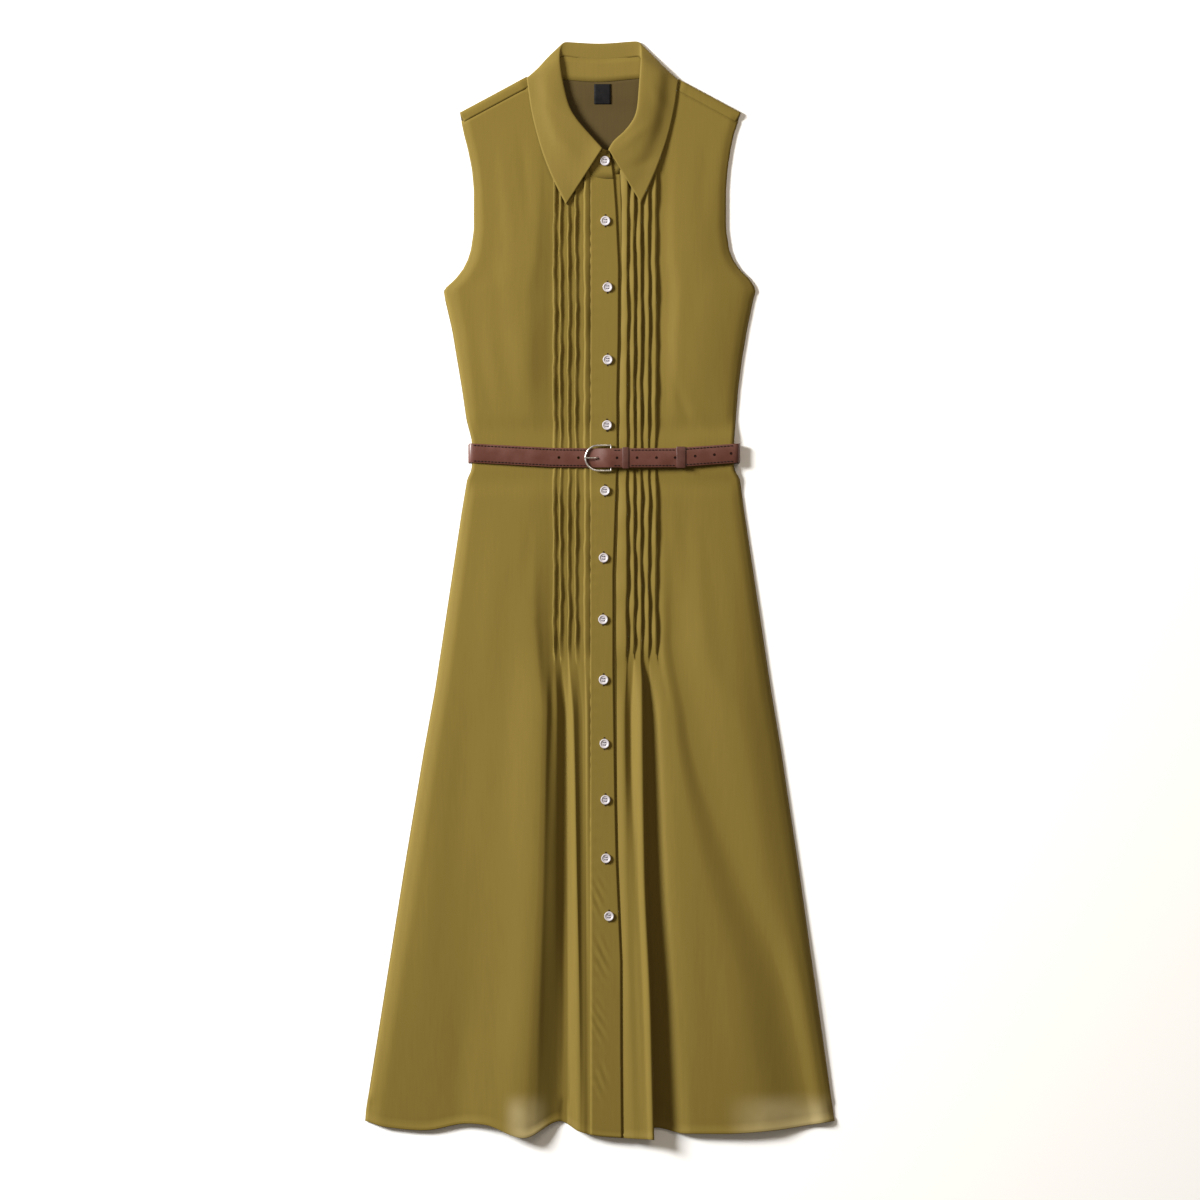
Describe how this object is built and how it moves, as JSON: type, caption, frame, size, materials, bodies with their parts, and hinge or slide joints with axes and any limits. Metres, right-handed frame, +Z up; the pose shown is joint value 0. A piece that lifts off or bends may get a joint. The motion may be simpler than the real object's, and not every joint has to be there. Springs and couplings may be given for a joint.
{
  "type": "shirt dress with belt",
  "caption": "Sleeveless midi shirt dress laid flat, front up, with a pointed collar, pintucked fronts, a buttoned placket and a narrow leather belt fastened at the waist.",
  "frame": {"origin": "middle of the dress's box on the surface that it lies on", "axes": "+Y from the hem to the neck, +Z up out of the dress's front, +X to the viewer's right, which is the wearer's left"},
  "size_m": [0.5633, 1.3176, 0.018],
  "materials": {
    "cloth": "olive plain woven cloth with a soft sheen",
    "label": "black woven tape, bare",
    "buttons": "pearly polyester",
    "leather": "brown smooth leather, edge stitched",
    "buckle": "polished nickel plate"
  },
  "bodies": {
    "root": {"back_panel": "cloth", "front_right": "cloth", "front_left": "cloth", "placket_over": "cloth", "placket_under": "cloth", "collar_leaf": "cloth", "collar_stand": "cloth", "neck_label": "label", "button_01": "buttons", "button_02": "buttons", "button_03": "buttons", "button_04": "buttons", "button_05": "buttons", "button_06": "buttons", "button_07": "buttons", "button_08": "buttons", "button_09": "buttons", "button_10": "buttons", "button_11": "buttons", "button_12": "buttons", "button_13": "buttons", "belt_strap": "leather", "belt_keeper_1": "leather", "belt_keeper_2": "leather", "buckle_frame": "buckle", "buckle_prong": "buckle"}
  },
  "joints": []
}
